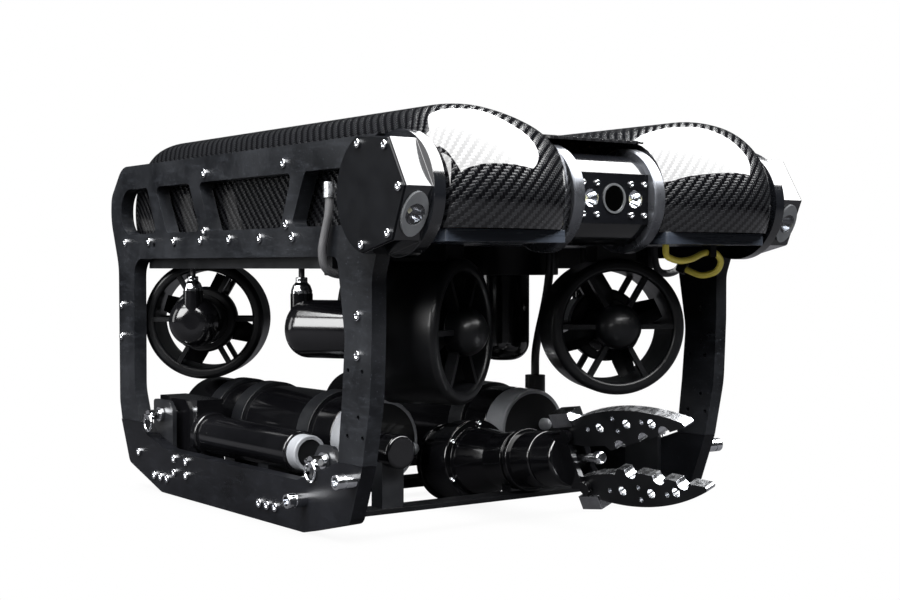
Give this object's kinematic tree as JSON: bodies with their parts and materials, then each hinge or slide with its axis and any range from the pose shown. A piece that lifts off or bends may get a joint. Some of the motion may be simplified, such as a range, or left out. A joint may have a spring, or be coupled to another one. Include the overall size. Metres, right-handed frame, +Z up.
{
  "type": "underwater inspection rov",
  "caption": "Underwater inspection vehicle: side plates and deck carry carbon floats, ducted thrusters, a tilting camera head with lamps, pressure tubes and a two-jaw grabber.",
  "frame": {"origin": "centre of the vehicle's bounding box on the plane the skid stands on", "axes": "+X forward towards the camera and grabber, +Y to port, +Z up"},
  "size_m": [0.7549, 0.4884, 0.3931],
  "materials": {
    "carbon": "glossy 2x2 twill carbon laminate",
    "plate_black": "black polymer sheet, fine satin grain, brighter cut edges",
    "anodised_black": "hard black anodised aluminium, satin",
    "housing_grey": "dark grey anodised aluminium, satin",
    "gloss_black": "smooth glossy black moulding",
    "duct_black": "satin black moulding",
    "stainless": "polished stainless steel",
    "cap_grey": "light grey satin plastic",
    "glass": "clear polished port",
    "foam": "closed cell buoyancy foam",
    "cord_black": "black cable jacket",
    "hose_braid": "black braided sleeve",
    "cord_yellow": "yellow cable jacket"
  },
  "bodies": {
    "frame": {"black_leads": "cord_black", "buoyancy_foam": "foam", "centre_cover": "carbon", "deck_plate": "plate_black", "duct_front_port": "duct_black", "duct_front_starboard": "duct_black", "duct_lift_port": "duct_black", "duct_lift_starboard": "duct_black", "duct_rear_port": "duct_black", "duct_rear_starboard": "duct_black", "end_caps": "cap_grey", "float_shell_port": "carbon", "float_shell_starboard": "carbon", "frame_screws": "stainless", "grabber_body": "anodised_black", "grabber_clamp": "anodised_black", "grabber_screws": "stainless", "hose_elbows": "stainless", "lamp_hoses": "hose_braid", "lead_fittings": "duct_black", "motor_pods": "gloss_black", "pod_glands": "stainless", "pressure_tube_port": "gloss_black", "pressure_tube_starboard": "gloss_black", "sensor_canisters": "gloss_black", "side_plate_port": "plate_black", "side_plate_starboard": "plate_black", "skid_bars": "plate_black", "skid_plate_port": "plate_black", "skid_plate_starboard": "plate_black", "splice_plates": "plate_black", "thumb_screws": "stainless", "tilt_bearings": "anodised_black", "tube_clamps": "housing_grey", "yellow_lead": "cord_yellow"},
    "head": {"camera_housing": "anodised_black", "housing_flanges": "housing_grey", "camera_front": "anodised_black", "camera_glass": "glass", "lens_bezels": "stainless", "lamp_glasses": "glass", "head_screws": "stainless", "tilt_shafts": "stainless", "light_pod_starboard": "gloss_black", "light_pod_port": "gloss_black", "pod_covers": "anodised_black"},
    "wrist": {"grabber_wrist": "anodised_black"},
    "upper_jaw": {"jaw_upper": "anodised_black"},
    "lower_jaw": {"jaw_lower": "anodised_black"},
    "rod": {"grabber_rod": "stainless"},
    "prop_front_port": {"propeller_front_port": "duct_black"},
    "prop_front_starboard": {"propeller_front_starboard": "duct_black"},
    "prop_rear_port": {"propeller_rear_port": "duct_black"},
    "prop_rear_starboard": {"propeller_rear_starboard": "duct_black"},
    "prop_lift_port": {"propeller_lift_port": "duct_black"},
    "prop_lift_starboard": {"propeller_lift_starboard": "duct_black"},
    "release_pin_front_starboard": {"release_pin_front_starboard": "stainless"},
    "release_pin_front_port": {"release_pin_front_port": "stainless"},
    "release_pin_rear_starboard": {"release_pin_rear_starboard": "stainless"},
    "release_pin_rear_port": {"release_pin_rear_port": "stainless"}
  },
  "joints": [
    {"name": "head_tilt", "type": "hinge", "parent": "frame", "child": "head", "pos_m": [0.2242, 0, 0.3115], "axis": [0, 1, 0], "range_deg": [-90, 90]},
    {"name": "spin_front_port", "type": "hinge", "parent": "frame", "child": "prop_front_port", "pos_m": [0.1312, 0.115, 0.188], "axis": [0.8746, -0.4848, 0], "continuous": true},
    {"name": "spin_front_starboard", "type": "hinge", "parent": "frame", "child": "prop_front_starboard", "pos_m": [0.1312, -0.115, 0.188], "axis": [0.8746, 0.4848, 0], "continuous": true},
    {"name": "spin_rear_port", "type": "hinge", "parent": "frame", "child": "prop_rear_port", "pos_m": [-0.3078, 0.124, 0.188], "axis": [-0.809, -0.5878, 0], "continuous": true},
    {"name": "spin_rear_starboard", "type": "hinge", "parent": "frame", "child": "prop_rear_starboard", "pos_m": [-0.3078, -0.124, 0.188], "axis": [-0.809, 0.5878, 0], "continuous": true},
    {"name": "spin_lift_port", "type": "hinge", "parent": "frame", "child": "prop_lift_port", "pos_m": [-0.0028, 0.079, 0.262], "axis": [0, 0, 1], "continuous": true},
    {"name": "spin_lift_starboard", "type": "hinge", "parent": "frame", "child": "prop_lift_starboard", "pos_m": [-0.0028, -0.079, 0.262], "axis": [0, 0, 1], "continuous": true},
    {"name": "wrist_roll", "type": "hinge", "parent": "frame", "child": "wrist", "pos_m": [0.17273, 0, 0.06244], "axis": [0.9925, 0, 0.1219], "continuous": true},
    {"name": "jaw_upper_close", "type": "hinge", "parent": "wrist", "child": "upper_jaw", "pos_m": [0.21734, -0.00906, 0.09301], "axis": [-0.0417, 0.9397, 0.3395], "range_deg": [-8, 10.4]},
    {"name": "jaw_lower_close", "type": "hinge", "parent": "wrist", "child": "lower_jaw", "pos_m": [0.22341, 0.00906, 0.04358], "axis": [-0.0417, 0.9397, 0.3395], "range_deg": [-10.4, 8]},
    {"name": "rod_draw", "type": "slide", "parent": "wrist", "child": "rod", "axis": [0.9925, 0, 0.1219], "range_m": [-0.003, 0.002]},
    {"name": "pull_front_starboard", "type": "slide", "parent": "frame", "child": "release_pin_front_starboard", "axis": [0, -1, 0], "range_m": [0, 0.03]},
    {"name": "pull_front_port", "type": "slide", "parent": "frame", "child": "release_pin_front_port", "axis": [0, 1, 0], "range_m": [0, 0.03]},
    {"name": "pull_rear_starboard", "type": "slide", "parent": "frame", "child": "release_pin_rear_starboard", "axis": [0, -1, 0], "range_m": [0, 0.03]},
    {"name": "pull_rear_port", "type": "slide", "parent": "frame", "child": "release_pin_rear_port", "axis": [0, 1, 0], "range_m": [0, 0.03]}
  ],
  "couplings": [
    {"joint": "jaw_lower_close", "follows": "jaw_upper_close", "ratio": -1},
    {"joint": "rod_draw", "follows": "jaw_upper_close", "m_per_rad": -0.012}
  ]
}
